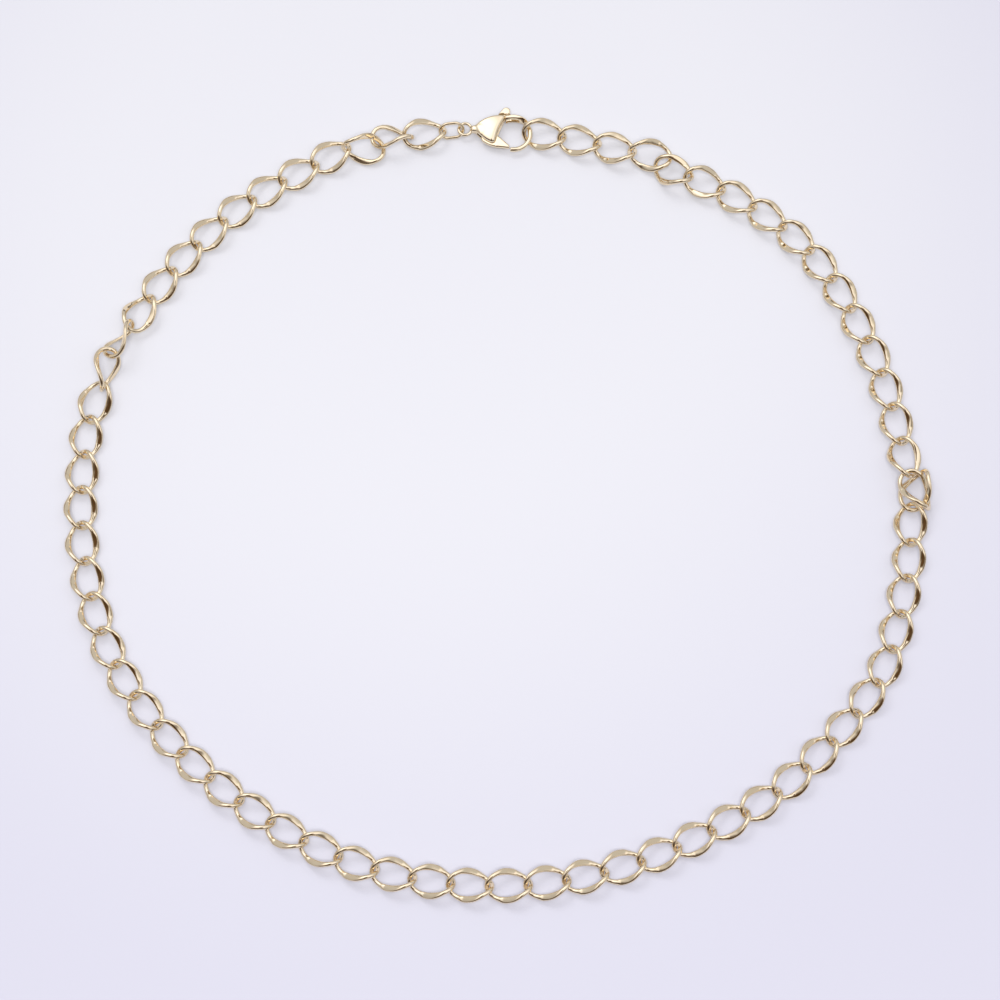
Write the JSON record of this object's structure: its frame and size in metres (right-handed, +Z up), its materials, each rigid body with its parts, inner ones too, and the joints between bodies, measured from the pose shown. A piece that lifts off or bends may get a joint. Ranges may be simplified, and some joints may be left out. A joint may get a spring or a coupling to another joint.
{
  "type": "curb chain necklace",
  "caption": "Curb chain necklace of twisted oval links with pressed flats, closed by a lobster clasp with a sprung lever, lying in an open loop.",
  "frame": {"origin": "centre of the necklace's bounding box, on the surface that it lies on", "axes": "+Z up from the surface, +Y towards the clasp, +X along the wider way of the loop, to the right as seen from above with the clasp at the top"},
  "size_m": [0.1531, 0.1471, 0.0059],
  "materials": {
    "chain_gold": "polished, pale gold plating",
    "clasp_gold": "mirror polished, pale gold plating",
    "pin_gold": "plain, gold plating"
  },
  "bodies": {
    "necklace": {"chain_right": "chain_gold", "chain_left": "chain_gold", "jump_ring": "chain_gold", "clasp_body": "clasp_gold", "clasp_pin": "pin_gold"},
    "lever": {"clasp_lever": "clasp_gold"}
  },
  "joints": [
    {"name": "lever_hinge", "type": "hinge", "parent": "necklace", "child": "lever", "pos_m": [-0.0017, 0.06886, 0.0015], "axis": [0, 0, 1], "range_deg": [0, 20], "stiffness_Nm_per_rad": 0.004, "springref_deg": -14.32}
  ]
}
